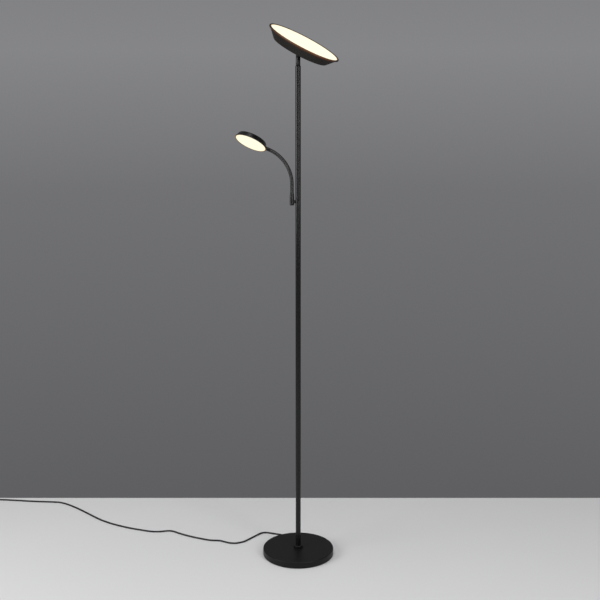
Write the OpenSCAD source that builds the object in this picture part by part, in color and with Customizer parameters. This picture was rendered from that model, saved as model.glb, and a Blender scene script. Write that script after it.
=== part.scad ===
// Torchiere floor lamp: a weighted round base, a slim three-section pole, a tilting
// uplight head on top and a small reading head on a gooseneck arm.
// Millimetres, +Z up. The origin is on the pole's axis where the base meets the floor.

/* [Base] */
// Diameter of the base cover
base_d = 250; // [210:5:300]
// Height of the base cover's top above the floor
base_h = 24; // [20:1:28]
// Radius of the cover's rolled top edge
base_edge_r = 3; // [2:0.5:5]
// Thickness of the cover's steel sheet
cover_t = 1.2; // [0.8:0.1:1.6]
// Thickness of the foam pad under the base
pad_t = 1.5; // [1:0.5:2]
// Diameter of the hollow threaded rod that clamps the pole to the base
rod_d = 10; // [8:0.5:12]
// Height of the collar round the pole's foot
collar_h = 9.5; // [6:0.5:16]
// Width that the collar stands out from the pole
collar_wall = 7.2; // [3:0.1:9]

/* [Pole] */
// Outside diameter of the pole
pole_d = 18; // [18:0.5:24]
// Wall of the pole tube
pole_wall = 1.2; // [1:0.1:1.5]
// Height of the uplight's tilt pin above the floor
pivot_z = 1743; // [1400:0.5:2100]
// Diameter of the neck between the pole and the uplight
neck_d = 15; // [15:0.5:18]
// Distance from the pole's top to the tilt pin
neck_rise = 35; // [28:1:60]
// Diameter of the tilt pin
pin_d = 4; // [3:0.5:5]

/* [Uplight] */
// Diameter over the uplight's rim ring
head_d = 250; // [200:5:320]
// Depth of the bowl from its rim to its flat floor
head_depth = 34; // [28:1:40]
// Diameter of the bowl's floor, out to the corner that it makes with the conical wall
head_floor_d = 188; // [150:2:200]
// Radius of the corner between the bowl's floor and its wall
head_corner_r = 6; // [4:0.5:12]
// Thickness of the bowl's aluminium
head_wall = 1.4; // [1:0.1:2]
// Width of the rim ring, seen from above
rim_w = 5.5; // [4:0.5:8]
// Tilt of the uplight in the rest pose, from level
tilt_rest = 28.5; // [0:0.5:60]
// Compass direction that the uplight tilts towards, counted from +X
tilt_heading = -19; // [-90:1:90]

/* [Reading arm] */
// Height of the arm's stub above the floor
stub_z = 1265; // [900:1:1400]
// Distance from the pole's axis to the arm's axis
arm_offset = 20.5; // [20.5:0.5:30]
// Diameter of the socket that holds the arm
socket_d = 15; // [14:0.5:17]
// Outside diameter of the gooseneck
flex_d = 12; // [12:0.5:14]
// Straight length of the gooseneck above its socket
flex_rise = 23; // [16:1:60]
// Radius of the gooseneck's bend in the rest pose
flex_bend_r = 125; // [110:1:160]
// Angle that the gooseneck has turned through at its end in the rest pose
flex_turn = 65; // [40:1:80]

/* [Reading head] */
// Diameter of the reading head
reader_d = 110; // [90:1:140]
// Thickness of the reading head
reader_h = 18; // [16:0.5:20]
// Diameter of the reading head's back, where its conical wall ends
reader_top_d = 98; // [70:1:130]
// Wall of the reading head's housing
reader_wall = 1.6; // [1.2:0.1:2.4]
// Turn of the reading head about its stem in the rest pose
reader_roll = 23.5; // [-60:0.5:60]

/* [Cord] */
// Diameter of the mains cord
cord_d = 6; // [5:0.5:7]
// Direction in which the cord leaves the base, counted from +X
exit_heading = 112; // [100:1:160]

/* [Hidden] */

$fn = 64;
eps = 0.01;
thread_gap = 0.1;      // on the diameter, between a thread and its hole
slide_gap = 0.3;       // on the diameter, where a sleeve or collar slides on
run_gap = 0.1;         // on the diameter, where a shaft turns in its bore
air = 0.3;             // between faces that move past each other

// Base
cover_z = pad_t;
weight_gap = 2;        // from the cover's side wall to the weight
weight_d = base_d - 2 * (cover_t + weight_gap);
weight_top = base_h - cover_t;
pad_inset = 8;
washer_t = 1.5;
washer_d = 2.6 * rod_d;
nut_h = 5;
nut_af = 1.7 * rod_d;  // across the flats
lead_d = 4;
stripped_d = 3.6;      // the lead inside the base, without its sheath
exit_z = pad_t + 3;    // height of the cord where it leaves the base
rod_low = exit_z + lead_d / 2 + 0.5;
washer_z = rod_low + nut_h;
recess_d = washer_d + 10;
rod_bore = 0.65 * rod_d;
rod_engage = 28;       // thread inside the pole's foot insert
channel_w = cord_d + 3;
gland_d = cord_d + 2.4;
gland_neck_d = cord_d + 1.2;
gland_tip_d = cord_d + 0.6;
gland_len = 22;        // tapered length outside the cover
gland_inner = 4;
clamp_r = weight_d / 2 - 40; // distance of the cord clamp from the axis
clamp_t = 1.2;
clamp_span = 26;       // length of the clamp across the cord
clamp_w = 8;

// Pole
pole_bore = pole_d - 2 * pole_wall;
pole_foot = base_h;
pole_top = pivot_z - neck_rise;
section_len = (pole_top - pole_foot) / 3;
joiner_len = 60;
insert_len = 30;
joiner_bore = 8;
spigot_d = 10;
spigot_len = 20;
collar_d = pole_d + 2 * collar_wall;
collar_edge_r = 2;

// Tilt hinge: the lug hangs between the neck's two ears
lug_t = 4.4;
lug_r = 6.5;
friction_t = 0.6;
slot_w = lug_t + 2 * (friction_t + air);
bolt_head_d = pin_d + 3;
bolt_head_t = 2.2;
lead_in_neck = 4.6;
floor_rise = 12;       // from the tilt pin to the bowl's floor
flange_t = 2.5;
flange_d = 36;
flange_screw_r = 13;
screw_d = 4;
screw_head_d = 7;
screw_head_t = 1.8;

// Uplight
rim_top = floor_rise + head_depth;
lip_h = 4.2;
lip_t = 1.6;
lip_overhang = 3;
bowl_r = head_d / 2 - lip_overhang;
diffuser_t = 2;
bowl_top = rim_top - lip_t - diffuser_t - 0.1;
board_t = 1.6;
plate_t = 2;
board_drop = 6;        // from the diffuser down to the lamp board
plate_z = bowl_top - board_drop - board_t - plate_t;
driver_size = [96, 38, 9];

// Reading arm
n_links = 12;
sleeve_h = 14;
sleeve_top_d = flex_d + 0.6;
socket_low = stub_z - 12;
socket_high = stub_z + 15;
ball_r = 4.4;
cup_r = ball_r + air;
cup_rim = 1.8;         // the cup's rim above the ball's centre
body_low = 3.6;        // the link's shoulder above its own ball's centre
link_neck_r = 2.8;
link_bore = 3;
flex_z = socket_high + sleeve_h + cup_r + 1;
flex_arc = flex_bend_r * flex_turn * PI / 180;
pitch = (flex_rise + flex_arc) / n_links;
nipple_d = 6;
nipple_bore = 3.4;
arm_lead_d = 2.4;
root_d = 9;
socket_floor = 4;
spacer_d = 11;
arm_nut_t = 3;
arm_nut_af = 8;
arm_nut_x = sqrt(pow(pole_bore / 2, 2) - pow(arm_nut_af / sqrt(3), 2)) - 0.1;

// Reading head, in its own frame: origin at the gooseneck's end, X along the stem,
// Z out of the housing's back
stem_len = 11.2;
boss_x = stem_len + air;
reader_x = stem_len + air + 1 + reader_d / 2;
reader_low = -7;
reader_edge_r = 5;
boss_len = 10.5;
boss_d = flex_d - 0.4;
journal_d = 7;
clip_t = 1.2;
clip_x = boss_x + boss_len + 0.6;
journal_end = clip_x + clip_t + 1.2;
reader_diffuser_t = 1.6;
reader_lip = 0.5;      // the wall's edge below the diffuser
reader_lip_h = 3;      // height of the upright lip
reader_board_d = 2 * (reader_x - journal_end - 1.5);

// Cord: the stretch on the floor from the gland to the coil
ROUTE = [
    [-55.1, 136.3, 4.5], [-60.2, 144.6, 4], [-67.8, 150.8, 3.2], [-77, 154.5, 3],
    [-86.3, 157.8, 3], [-95.5, 161.1, 3], [-104.8, 164.4, 3], [-114.1, 167.6, 3],
    [-123.9, 168.7, 3], [-133.3, 166.3, 3], [-141.4, 160.8, 3], [-147.7, 153.2, 3],
    [-153.8, 145.5, 3], [-160, 137.8, 3], [-166.1, 130.1, 3], [-172.3, 122.4, 3],
    [-178.4, 114.7, 3], [-196, 93, 3], [-211, 83, 3], [-227, 77, 3], [-242, 77, 3],
    [-257, 82, 3], [-272, 90, 3], [-287, 98, 3], [-303, 100, 3], [-323, 102, 3], [-347, 111, 3],
    [-377, 124, 3], [-408, 140, 3], [-439, 159, 3], [-462, 176, 3], [-477, 183, 3],
    [-493, 183, 3], [-517, 177, 3], [-546, 178, 3], [-577, 187, 3], [-639, 211, 3],
    [-706, 247, 3], [-762, 289, 3], [-815, 342, 3], [-854, 381, 3], [-902, 424, 3],
    [-945, 451, 3], [-980, 457, 3], [-1062, 464, 3], [-1159, 477, 3], [-1238, 482.5, 3]
];
ring_step = 24;
cord_sides = 8;
coil_at = [-1238, 446.5];
coil_mid_r = 33;
coil_layer = 0.87 * cord_d;
plug_len = 34;
plug_w = 30;
plug_t = 13.6;
plug_nose_w = 16;
plug_relief_len = 26;
plug_relief_y = -19;   // the relief's tip, from the coil's centre
plug_pin_d = 4;
plug_pin_len = 19;
plug_pin_gap = 19;
plug_shank_d = 3.4;    // the part of a pin that is moulded into the body
plug_shank_out = 0.2;
plug_shank_in = 10;

// ---------- shapes that repeat ----------

module tube(d, bore, h) {
    difference() {
        cylinder(d = d, h = h);
        translate([0, 0, -1]) cylinder(d = bore, h = h + 2);
    }
}

module hexagon_nut(af, bore, h) {
    difference() {
        cylinder(d = af * 2 / sqrt(3), h = h, $fn = 6);
        translate([0, 0, -1]) cylinder(d = bore, h = h + 2);
    }
}

// Arc of radius r that rounds the corner p between its neighbours a and b
function round_corner(a, p, b, r, steps = 8) = let (u = (a - p) / norm(a - p),
    v = (b - p) / norm(b - p), half = acos(u * v) / 2, spread = 180 - 2 * half,
    centre = p + (u + v) / norm(u + v) * r / sin(half), reach = r / tan(half),
    from = p + u * reach - centre, to = p + v * reach - centre)
    [for (k = [0 : steps])
        centre + (from * sin((1 - k / steps) * spread) + to * sin(k / steps * spread)) / sin(spread)];

// Half section of a disc with a round upper edge
module round_edge_section(r, h, edge) {
    square([r - edge, h]);
    square([r, h - edge]);
    intersection() {
        translate([r - edge, h - edge]) circle(r = edge);
        square([r, h]);
    }
}

// Lays a shape that is drawn along +Z along the heading, outwards from the axis
module outwards(heading, z) {
    translate([0, 0, z]) rotate([0, 0, heading]) rotate([0, 90, 0]) children();
}

// ---------- base ----------

module base_pad() color("dimgray") cylinder(d = base_d - 2 * pad_inset, h = pad_t);

module base_weight() color("slategray") difference() {
    translate([0, 0, cover_z]) cylinder(d = weight_d, h = weight_top - cover_z);
    cylinder(d = rod_d + slide_gap, h = base_h);
    cylinder(d = recess_d, h = washer_z + washer_t);
    rotate([0, 0, exit_heading]) translate([0, -channel_w / 2, 0])
        cube([base_d, channel_w, exit_z + channel_w / 2]);
    rotate([0, 0, exit_heading]) translate([clamp_r - clamp_w / 2 - 1, -clamp_span / 2 - 1, 0])
        cube([clamp_w + 2, clamp_span + 2, exit_z + lead_d / 2 + clamp_t]);
    clamp_screw_places() cylinder(d = 2.5 + thread_gap, h = weight_top - 3);
}

module base_cover() color([0.13, 0.13, 0.13]) difference() {
    translate([0, 0, cover_z]) rotate_extrude() difference() {
        round_edge_section(base_d / 2, base_h - cover_z, base_edge_r);
        translate([-1, -1]) round_edge_section(base_d / 2 - cover_t + 1,
            base_h - cover_z - cover_t + 1, base_edge_r - cover_t + 0.2);
        translate([-1, 0]) square([rod_d / 2 + slide_gap / 2 + 1, base_h]);
    }
    outwards(exit_heading, exit_z) cylinder(d = gland_neck_d + slide_gap, h = base_d);
    rotate([0, 0, exit_heading]) translate([0, -gland_neck_d / 2, 0])
        cube([base_d, gland_neck_d, exit_z]);
}

module base_washer() color("silver") translate([0, 0, washer_z])
    tube(washer_d, rod_d + slide_gap, washer_t);

module base_nut() color("silver") translate([0, 0, rod_low])
    hexagon_nut(nut_af, rod_d + thread_gap, nut_h);

module threaded_rod() color("silver") translate([0, 0, rod_low])
    tube(rod_d, rod_bore, base_h + rod_engage - rod_low);

module foot_collar() color([0.13, 0.13, 0.13]) translate([0, 0, base_h]) rotate_extrude()
    difference() {
        round_edge_section(collar_d / 2, collar_h, collar_edge_r);
        translate([-1, -1]) square([(pole_d + slide_gap) / 2 + 1, collar_h + 2]);
    }

module cord_gland() color([0.1, 0.1, 0.1]) {
    wall_r = base_d / 2 - cover_t;
    outwards(exit_heading, exit_z) {
        translate([0, 0, wall_r - gland_inner]) cylinder(d = gland_d, h = gland_inner - 0.1);
        translate([0, 0, wall_r - 0.2]) cylinder(d = gland_neck_d, h = cover_t + 0.6);
        translate([0, 0, base_d / 2 + 0.3])
            cylinder(d1 = gland_d, d2 = gland_tip_d, h = gland_len - 0.3);
    }
}

module clamp_screw_places() {
    rotate([0, 0, exit_heading]) for (side = [-1, 1])
        translate([clamp_r, side * (clamp_span / 2 - 4), 0]) children();
}

// Metal strap that holds the stripped lead against the weight
module cord_clamp() color("silver") {
    strap_z = exit_z + lead_d / 2;
    difference() {
        rotate([0, 0, exit_heading]) translate([clamp_r - clamp_w / 2, -clamp_span / 2, strap_z])
            cube([clamp_w, clamp_span, clamp_t]);
        clamp_screw_places() cylinder(d = 2.5 + slide_gap, h = base_h);
    }
}

module clamp_screws() color("silver") clamp_screw_places() {
    translate([0, 0, exit_z + lead_d / 2 - 1.6]) cylinder(d = 5, h = 1.6);
    translate([0, 0, exit_z + lead_d / 2 - eps]) cylinder(d = 2.5, h = 7);
}

// ---------- cord ----------

// A point on the smooth curve between b and c, with a and d as its neighbours
function blend_point(a, b, c, d, t) = 0.5 * (2 * b + (c - a) * t
    + (2 * a - 5 * b + 4 * c - d) * pow(t, 2) + (3 * b - a - 3 * c + d) * pow(t, 3));

function route_curve(p) = let (last = len(p) - 1) concat(
    [for (i = [0 : last - 1], n = [ceil(norm(p[i + 1] - p[i]) / ring_step)], k = [0 : n - 1])
        blend_point(p[max(i - 1, 0)], p[i], p[i + 1], p[min(i + 2, last)], k / n)],
    [p[last]]);

// A round tube swept along a route that lies almost flat
module swept_tube(path, d, sides) {
    count = len(path);
    rings = [for (i = [0 : count - 1])
        let (way = path[min(i + 1, count - 1)] - path[max(i - 1, 0)],
            flat = [way.x, way.y, 0] / norm([way.x, way.y]),
            across = [-flat.y, flat.x, 0], up = cross(way / norm(way), across))
        for (k = [0 : sides - 1])
            path[i] + d / 2 * (cos((k + 0.5) * 360 / sides) * across
                + sin((k + 0.5) * 360 / sides) * up)];
    walls = [for (i = [0 : count - 2], k = [0 : sides - 1])
        [i * sides + k, i * sides + (k + 1) % sides,
            (i + 1) * sides + (k + 1) % sides, (i + 1) * sides + k]];
    first_end = [for (k = [0 : sides - 1]) sides - 1 - k];
    last_end = [for (k = [0 : sides - 1]) (count - 1) * sides + k];
    polyhedron(rings, concat(walls, [first_end, last_end]), convexity = 6);
}

module cord_tube() color([0.09, 0.09, 0.09]) swept_tube(route_curve(ROUTE), cord_d, cord_sides);

module cord_coil() color([0.09, 0.09, 0.09]) translate(coil_at) rotate_extrude()
    translate([coil_mid_r - cord_d, 0]) square([2 * cord_d, cord_d + coil_layer]);

module plug_body() color([0.09, 0.09, 0.09])
    translate([coil_at.x - coil_mid_r, coil_at.y + plug_relief_y, plug_t / 2])
        rotate([90, 0, 0]) {
            cylinder(d1 = cord_d + 0.6, d2 = cord_d + 5, h = plug_relief_len);
            translate([0, 0, plug_relief_len - eps]) difference() {
                translate([0, plug_t / 2, 0]) rotate([90, 0, 0]) linear_extrude(plug_t)
                    polygon([[-plug_nose_w / 2, 0], [plug_nose_w / 2, 0], [plug_w / 2, 12],
                        [plug_w / 2, plug_len], [-plug_w / 2, plug_len], [-plug_w / 2, 12]]);
                for (side = [-1, 1])
                    translate([side * plug_pin_gap / 2, 0, plug_len - plug_shank_in])
                        cylinder(d = plug_shank_d, h = 2 * plug_shank_in);
            }
        }

module plug_pins() color("gold")
    translate([coil_at.x - coil_mid_r,
        coil_at.y + plug_relief_y - plug_relief_len - plug_len, plug_t / 2])
        rotate([90, 0, 0]) for (side = [-1, 1]) translate([side * plug_pin_gap / 2, 0, 0]) {
            translate([0, 0, -plug_shank_in])
                cylinder(d = plug_shank_d, h = plug_shank_in + plug_shank_out + eps);
            translate([0, 0, plug_shank_out])
                cylinder(d = plug_pin_d, h = plug_pin_len - plug_pin_d / 2 - plug_shank_out);
            translate([0, 0, plug_pin_len - plug_pin_d / 2]) sphere(d = plug_pin_d);
        }

// ---------- pole ----------

// Any section has the hole for the arm's nipple, if the arm is on it
module pole_section(low, high) difference() {
    tube_between(low, high, pole_d, pole_bore);
    outwards(180, stub_z) cylinder(d = nipple_d + slide_gap, h = pole_d);
}

module tube_between(low, high, d, bore) translate([0, 0, low]) tube(d, bore, high - low);

module pole_foot_insert() color("silver")
    tube_between(pole_foot, pole_foot + insert_len, pole_bore - thread_gap, rod_d + thread_gap);

module pole_lower() color([0.12, 0.12, 0.12]) pole_section(pole_foot, pole_foot + section_len);

module pole_middle() color([0.12, 0.12, 0.12])
    pole_section(pole_foot + section_len, pole_foot + 2 * section_len);

module pole_upper() color([0.12, 0.12, 0.12])
    pole_section(pole_foot + 2 * section_len, pole_top);

module pole_joiners() color("silver") for (n = [1, 2]) {
    middle = pole_foot + n * section_len;
    tube_between(middle - joiner_len / 2, middle + joiner_len / 2,
        pole_bore - thread_gap, joiner_bore);
}

module pole_top_insert() color("silver") tube_between(pole_top - insert_len, pole_top,
    pole_bore - thread_gap, spigot_d + thread_gap);

// The lead inside the base and the pole, from the gland to the neck
module supply_lead() color("white") {
    reach = base_d / 2 - cover_t - gland_inner;
    low = exit_z - lead_d / 2;
    outwards(exit_heading, exit_z) cylinder(d = stripped_d, h = reach);
    translate([0, 0, low]) cylinder(d = lead_d, h = pole_top + 12 - low);
}

// ---------- neck and tilt hinge ----------

// Puts a shape drawn round the tilt pin, with the pin along Y, in its place
module at_pivot(tilt = 0) {
    translate([0, 0, pivot_z]) rotate([0, 0, tilt_heading]) rotate([0, tilt, 0]) children();
}

module neck() color([0.14, 0.14, 0.14]) at_pivot() difference() {
    union() {
        translate([0, 0, -neck_rise]) cylinder(d = neck_d, h = neck_rise);
        translate([0, 0, -neck_rise - spigot_len]) cylinder(d = spigot_d, h = spigot_len + eps);
        intersection() {
            cylinder(d = neck_d, h = neck_d);
            rotate([90, 0, 0]) cylinder(d = neck_d, h = neck_d + 2, center = true);
        }
    }
    translate([-neck_d, -slot_w / 2, -lug_r - 1]) cube([2 * neck_d, slot_w, 2 * neck_d]);
    translate([0, 0, -neck_rise - spigot_len - 1])
        cylinder(d = lead_in_neck, h = neck_rise + spigot_len);
    rotate([90, 0, 0]) cylinder(d = pin_d + thread_gap, h = neck_d + 2, center = true);
    for (side = [-1, 1]) rotate([90 * side, 0, 0])
        translate([0, 0, neck_d / 2 - bolt_head_t - 0.2])
            cylinder(d = bolt_head_d + slide_gap, h = neck_d);
}

module tilt_bolt() color("silver") at_pivot() {
    seat = neck_d / 2 - bolt_head_t - 0.2;
    rotate([90, 0, 0]) translate([0, 0, -seat - 1.6]) cylinder(d = pin_d, h = 2 * seat + 1.6 + eps);
    rotate([90, 0, 0]) translate([0, 0, seat]) difference() {
        cylinder(d = bolt_head_d, h = bolt_head_t);
        translate([0, 0, 1]) cylinder(d = 3.4, h = 3, $fn = 6);
    }
}

module tilt_nut() color("silver") at_pivot() {
    rotate([-90, 0, 0]) translate([0, 0, neck_d / 2 - bolt_head_t - 0.2])
        hexagon_nut(bolt_head_d * sqrt(3) / 2, pin_d + thread_gap, bolt_head_t);
}

module friction_washers() color("dimgray") at_pivot() for (side = [-1, 1])
    rotate([90 * side, 0, 0]) translate([0, 0, slot_w / 2 - friction_t])
        tube(2 * lug_r - 1, pin_d + thread_gap, friction_t);

// ---------- uplight head, drawn level round the tilt pin ----------

module in_head() at_pivot(tilt_rest) children();

module flange_screw_places() for (side = [-1, 1])
    translate([0, side * flange_screw_r, floor_rise - flange_t]) children();

module tilt_bracket() color([0.14, 0.14, 0.14]) in_head() difference() {
    union() {
        rotate([90, 0, 0]) cylinder(r = lug_r, h = lug_t, center = true);
        translate([-lug_r, -lug_t / 2, 0]) cube([2 * lug_r, lug_t, floor_rise - flange_t + eps]);
        translate([0, 0, floor_rise - flange_t]) cylinder(d = flange_d, h = flange_t);
    }
    rotate([90, 0, 0]) cylinder(d = pin_d + run_gap, h = 3 * lug_t, center = true);
    flange_screw_places() translate([0, 0, -1]) cylinder(d = screw_d + slide_gap, h = 9);
}

module bracket_screws() color("silver") in_head() flange_screw_places() {
    translate([0, 0, -screw_head_t]) cylinder(d = screw_head_d, h = screw_head_t);
    cylinder(d = screw_d, h = flange_t + head_wall + 3);
}

// Radius of the bowl's conical wall at a height above the tilt pin, for a wall moved in by inset
function bowl_wall(z, inset) = let (slope = (bowl_r - head_floor_d / 2) / (bowl_top - floor_rise))
    head_floor_d / 2 + slope * (z - floor_rise) - inset * sqrt(1 + slope * slope);

// The bowl's half section: a flat floor, a rounded corner and a conical wall
module bowl_section(inset, top) {
    low = floor_rise + inset;
    foot = [bowl_wall(low, inset), low];
    end = [bowl_wall(top, inset), top];
    polygon(concat([[0, low]], round_corner([0, low], foot, end, head_corner_r - inset),
        [end, [0, top]]));
}

module head_bowl() color([0.11, 0.11, 0.11]) in_head() difference() {
    rotate_extrude() bowl_section(0, bowl_top);
    rotate_extrude() bowl_section(head_wall, bowl_top + 1);
    flange_screw_places() cylinder(d = screw_d + slide_gap, h = 20);
}

module led_driver() color("gray") in_head()
    translate([-driver_size.x / 2, 24, floor_rise + head_wall]) cube(driver_size - [0, 0, 0.5]);

module heat_plate() color("lightgray") in_head() translate([0, 0, plate_z])
    cylinder(r = bowl_wall(plate_z, head_wall) - 0.1, h = plate_t);

module led_board() color("ivory") in_head() translate([0, 0, plate_z + plate_t])
    cylinder(r = bowl_wall(plate_z, head_wall) - 4, h = board_t);

module head_diffuser() color([1, 0.97, 0.88]) in_head() translate([0, 0, bowl_top])
    cylinder(r = bowl_r - 0.2, h = diffuser_t);

module head_rim() color([0.12, 0.12, 0.12]) in_head() difference() {
    translate([0, 0, rim_top - lip_h]) cylinder(d = head_d, h = lip_h);
    translate([0, 0, rim_top - lip_h - 1]) cylinder(r = bowl_r + 0.15, h = lip_h - lip_t + 1);
    cylinder(d = head_d - 2 * rim_w, h = rim_top + 1);
}

// ---------- reading arm ----------

module arm_axis(z) translate([-arm_offset, 0, z]) children();

module arm_spacer() color([0.14, 0.14, 0.14]) difference() {
    outwards(180, stub_z) cylinder(d = spacer_d, h = arm_offset - socket_d / 2 + 1);
    translate([0, 0, stub_z - spacer_d]) cylinder(d = pole_d + 0.04, h = 2 * spacer_d);
    arm_axis(stub_z - spacer_d) cylinder(d = socket_d + 0.04, h = 2 * spacer_d);
    outwards(180, stub_z) cylinder(d = nipple_d + slide_gap, h = arm_offset);
}

module arm_nipple() color("silver") outwards(180, stub_z) translate([0, 0, arm_nut_x - 3.4])
    tube(nipple_d, nipple_bore, arm_offset - root_d / 2 - arm_nut_x + 3.6);

module arm_nut() color("silver") outwards(180, stub_z) translate([0, 0, arm_nut_x - arm_nut_t])
    hexagon_nut(arm_nut_af, nipple_d + thread_gap, arm_nut_t);

module arm_socket() color([0.14, 0.14, 0.14]) difference() {
    arm_axis(socket_low) cylinder(d = socket_d, h = socket_high - socket_low);
    arm_axis(socket_low + socket_floor) cylinder(d = root_d + thread_gap, h = 60);
    outwards(180, stub_z) cylinder(d = nipple_d + thread_gap, h = arm_offset);
}

module arm_sleeve() color([0.14, 0.14, 0.14]) arm_axis(socket_high) difference() {
    cylinder(d1 = socket_d, d2 = sleeve_top_d, h = sleeve_h);
    translate([0, 0, -1]) cylinder(d = root_d + thread_gap, h = sleeve_h + 2);
}

module arm_lead() color("white") {
    outwards(180, stub_z) translate([0, 0, lead_d / 2 + 0.1])
        cylinder(d = arm_lead_d, h = arm_offset - lead_d / 2 - 0.1);
    arm_axis(stub_z) sphere(d = arm_lead_d);
    arm_axis(stub_z) cylinder(d = arm_lead_d, h = socket_high + 4 - stub_z);
}

// The fixed end of the gooseneck: a tail in the socket and the first cup
module gooseneck_root() color([0.16, 0.16, 0.16]) arm_axis(0) difference() {
    union() {
        translate([0, 0, stub_z + 7]) cylinder(d = root_d, h = flex_z - stub_z - 7);
        translate([0, 0, socket_high + sleeve_h])
            cylinder(d = flex_d, h = flex_z + cup_rim - socket_high - sleeve_h);
    }
    translate([0, 0, flex_z]) sphere(r = cup_r);
    translate([0, 0, stub_z]) cylinder(d = link_bore, h = flex_z - stub_z);
}

// The gooseneck's centre line: straight up, then round towards -X
function flex_point(s) = let (a = max(0, s - flex_rise) / flex_bend_r * 180 / PI)
    [-arm_offset - flex_bend_r * (1 - cos(a)), 0, flex_z + min(s, flex_rise) + flex_bend_r * sin(a)];

module along_link(i) {
    from = flex_point(i * pitch);
    way = flex_point((i + 1) * pitch) - from;
    translate(from) rotate([0, -atan2(-way.x, way.z), 0]) children();
}

// One short length of the gooseneck: a ball below and a cup above for the next ball
module gooseneck_link(i) color([0.16, 0.16, 0.16]) along_link(i) {
    reach = norm(flex_point((i + 1) * pitch) - flex_point(i * pitch));
    last = i == n_links - 1;
    top = last ? reach - 0.4 : reach + cup_rim;
    shoulder = flex_d / 2 - ball_r + 0.2;
    difference() {
        union() {
            sphere(r = ball_r);
            cylinder(r = link_neck_r, h = body_low + 1);
            translate([0, 0, body_low])
                cylinder(d1 = flex_d - 2 * shoulder, d2 = flex_d, h = shoulder);
            translate([0, 0, body_low + shoulder - eps])
                cylinder(d = flex_d, h = top - body_low - shoulder + eps);
        }
        translate([0, 0, -ball_r - 1]) cylinder(d = link_bore, h = 2 * flex_bend_r);
        if (!last) translate([0, 0, reach]) sphere(r = cup_r);
    }
}

// ---------- reading head ----------

module in_reader(roll = 0) translate(flex_point(n_links * pitch))
    rotate([0, 90 - flex_turn, 0]) rotate([0, 0, 180]) rotate([roll, 0, 0]) children();

module along_stem(x) translate([x, 0, 0]) rotate([0, 90, 0]) children();

module reading_stem() color([0.14, 0.14, 0.14]) in_reader() difference() {
    union() {
        along_stem(0) cylinder(d = flex_d, h = stem_len);
        along_stem(0) cylinder(d = journal_d, h = journal_end);
    }
    along_stem(-1) cylinder(d = link_bore, h = journal_end + 2);
}

module stem_clip() color("silver") in_reader()
    along_stem(clip_x) tube(journal_d + 1.4, journal_d + 0.05, clip_t);

// The housing's half section: a short upright lip, a conical wall and a flat back
module reader_section(inset, low) {
    lean = (reader_d - reader_top_d) / 2 / (reader_h - reader_lip_h);
    spread = sqrt(1 + lean * lean);
    top = reader_h - inset;
    lip = [reader_d / 2 - inset, reader_lip_h - inset * (spread - 1) / lean];
    back = [reader_top_d / 2 + lean * inset - inset * spread, top];
    polygon(concat([[0, low], [reader_d / 2 - inset, low], lip],
        round_corner(lip, back, [0, top], reader_edge_r - inset), [[0, top]]));
}

module reading_housing() color([0.12, 0.12, 0.12]) in_reader(reader_roll) difference() {
    union() {
        translate([reader_x, 0, reader_low]) rotate_extrude() difference() {
            reader_section(0, 0);
            reader_section(reader_wall, -1);
        }
        along_stem(boss_x) cylinder(d = boss_d, h = boss_len);
    }
    along_stem(0) cylinder(d = journal_d + run_gap, h = reader_d / 2);
}

module reading_board() color("ivory") in_reader(reader_roll)
    translate([reader_x, 0, reader_low + reader_lip + reader_diffuser_t + 3])
        cylinder(d = reader_board_d, h = board_t);

module reading_diffuser() color([1, 0.97, 0.88]) in_reader(reader_roll) difference() {
    translate([reader_x, 0, reader_low + reader_lip])
        cylinder(d = reader_d - 2 * reader_wall - 0.2, h = reader_diffuser_t);
    along_stem(boss_x - 1) cylinder(d = flex_d + 0.4, h = boss_len + 2);
}

// ---------- the assembly ----------

base_pad();
base_weight();
base_cover();
base_washer();
base_nut();
threaded_rod();
foot_collar();
cord_gland();
cord_clamp();
clamp_screws();
cord_tube();
cord_coil();
plug_body();
plug_pins();
pole_foot_insert();
pole_lower();
pole_middle();
pole_upper();
pole_joiners();
pole_top_insert();
supply_lead();
neck();
tilt_bolt();
tilt_nut();
friction_washers();
arm_spacer();
arm_nipple();
arm_nut();
arm_socket();
arm_sleeve();
arm_lead();
gooseneck_root();
gooseneck_link(0);  // gooseneck_link_01
gooseneck_link(1);  // gooseneck_link_02
gooseneck_link(2);  // gooseneck_link_03
gooseneck_link(3);  // gooseneck_link_04
gooseneck_link(4);  // gooseneck_link_05
gooseneck_link(5);  // gooseneck_link_06
gooseneck_link(6);  // gooseneck_link_07
gooseneck_link(7);  // gooseneck_link_08
gooseneck_link(8);  // gooseneck_link_09
gooseneck_link(9);  // gooseneck_link_10
gooseneck_link(10);  // gooseneck_link_11
gooseneck_link(11);  // gooseneck_link_12
reading_stem();
stem_clip();
reading_housing();
reading_board();
reading_diffuser();
tilt_bracket();
bracket_screws();
head_bowl();
led_driver();
heat_plate();
led_board();
head_diffuser();
head_rim();
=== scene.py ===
"""Torchiere floor lamp with a reading arm: its looks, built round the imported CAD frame.

Shapes are worked out in millimetres in the frame of the CAD and become meshes in metres.
"""

import math

import bmesh
import bpy
import numpy as np
from mathutils import Matrix, Vector


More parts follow.
